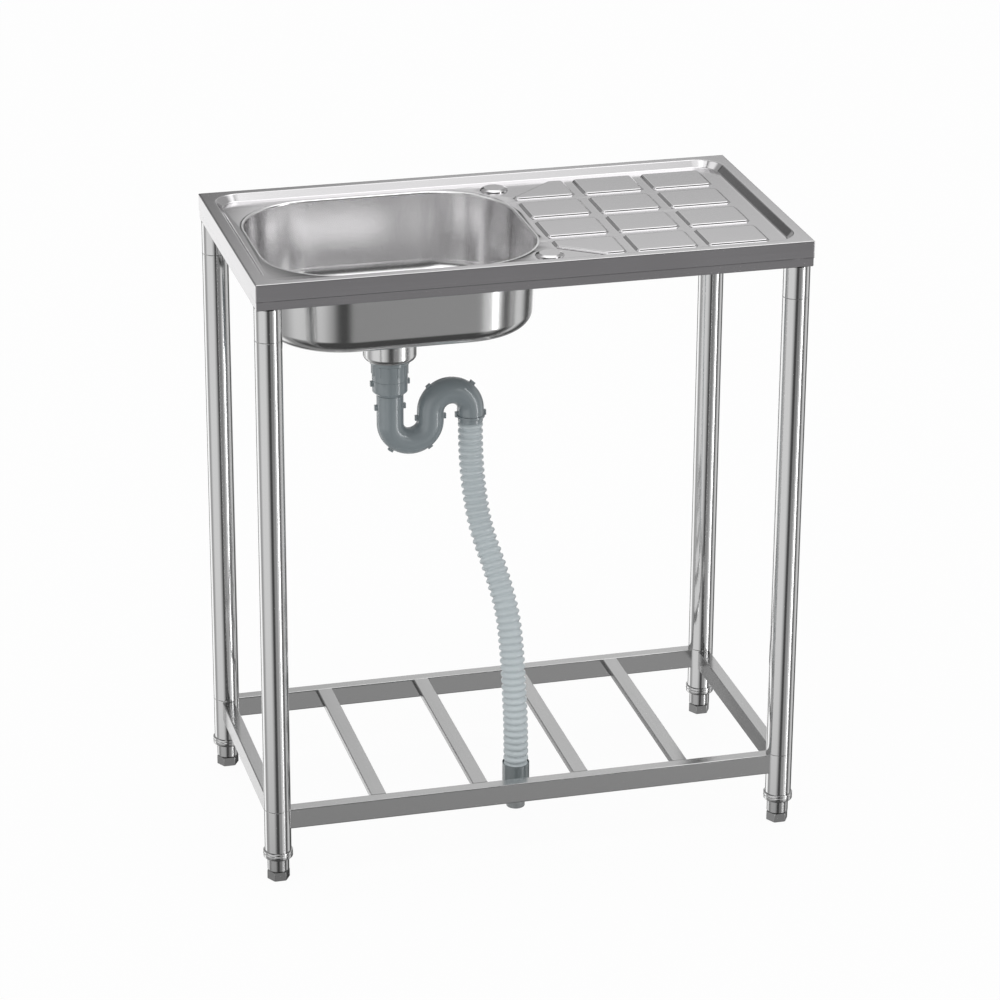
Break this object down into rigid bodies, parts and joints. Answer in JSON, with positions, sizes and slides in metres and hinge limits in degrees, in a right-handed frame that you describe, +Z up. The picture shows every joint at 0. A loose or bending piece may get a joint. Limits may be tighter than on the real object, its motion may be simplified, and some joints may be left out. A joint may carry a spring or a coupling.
{
  "type": "free-standing sink table",
  "caption": "Free-standing stainless sink table: pressed deck with a left bowl and a right drainer, four round legs, a slatted shelf, a basket waste, a trap and a ribbed hose.",
  "frame": {"origin": "on the floor, under the centre of the deck", "axes": "+X along the length towards the drainer, +Y to the back, +Z up"},
  "size_m": [0.7834, 0.419, 0.89],
  "materials": {
    "brushed_deck": "brushed along the length, satin",
    "brushed_bowl": "fine satin inside, smoother outside",
    "frame_steel": "satin, brushed along the length",
    "polished_tube": "polished stainless tube",
    "foot_steel": "turned, satin",
    "connector_steel": "plain drawn tube",
    "satin_tube": "satin, brushed along the length",
    "seal_rubber": "matt",
    "polished_fitting": "polished",
    "screw_steel": "plain",
    "grey_plastic": "glossy moulded grey",
    "hose_plastic": "pale grey, glossy and slightly translucent",
    "sleeve_plastic": "glossy mid grey",
    "spigot_plastic": "satin light grey"
  },
  "bodies": {
    "root": {"sink_deck": "brushed_deck", "sink_bowl": "brushed_bowl", "top_rail_front": "frame_steel", "top_rail_back": "frame_steel", "top_rail_left": "frame_steel", "top_rail_right": "frame_steel", "drainer_brace": "frame_steel", "leg_socket_front_left": "polished_tube", "leg_tube_front_left": "polished_tube", "shelf_corner_front_left": "polished_tube", "foot_collar_front_left": "foot_steel", "leg_socket_front_right": "polished_tube", "leg_tube_front_right": "polished_tube", "shelf_corner_front_right": "polished_tube", "foot_collar_front_right": "foot_steel", "leg_socket_back_left": "polished_tube", "leg_tube_back_left": "polished_tube", "shelf_corner_back_left": "polished_tube", "foot_collar_back_left": "foot_steel", "leg_socket_back_right": "polished_tube", "leg_tube_back_right": "polished_tube", "shelf_corner_back_right": "polished_tube", "foot_collar_back_right": "foot_steel", "leg_upper_connectors": "connector_steel", "leg_lower_connectors": "connector_steel", "shelf_rail_front": "satin_tube", "shelf_rail_back": "satin_tube", "shelf_rail_left": "satin_tube", "shelf_rail_right": "satin_tube", "shelf_slat_1": "satin_tube", "shelf_slat_2": "satin_tube", "shelf_slat_3": "satin_tube", "shelf_slat_4": "satin_tube", "drain_upper_gasket": "seal_rubber", "drain_lower_gasket": "seal_rubber", "trap_washer": "seal_rubber", "drain_flange": "polished_fitting", "drain_cup": "polished_fitting", "drain_screw": "screw_steel", "trap_nut": "grey_plastic", "trap_body": "grey_plastic", "hose_cuff": "grey_plastic", "waste_hose": "hose_plastic", "hose_sleeve": "sleeve_plastic", "hose_spigot": "spigot_plastic"},
    "basket": {"strainer_basket": "polished_fitting", "basket_stopper": "seal_rubber", "basket_knob": "polished_fitting"},
    "leveller_front_left": {"foot_front_left": "foot_steel"},
    "leveller_front_right": {"foot_front_right": "foot_steel"},
    "leveller_back_left": {"foot_back_left": "foot_steel"},
    "leveller_back_right": {"foot_back_right": "foot_steel"}
  },
  "joints": [
    {"name": "basket_lift", "type": "slide", "parent": "root", "child": "basket", "axis": [0, 0, 1], "range_m": [0, 0.2]},
    {"name": "level_front_left", "type": "slide", "parent": "root", "child": "leveller_front_left", "axis": [0, 0, 1], "range_m": [-0.015, 0.018]},
    {"name": "level_front_right", "type": "slide", "parent": "root", "child": "leveller_front_right", "axis": [0, 0, 1], "range_m": [-0.015, 0.018]},
    {"name": "level_back_left", "type": "slide", "parent": "root", "child": "leveller_back_left", "axis": [0, 0, 1], "range_m": [-0.015, 0.018]},
    {"name": "level_back_right", "type": "slide", "parent": "root", "child": "leveller_back_right", "axis": [0, 0, 1], "range_m": [-0.015, 0.018]}
  ]
}
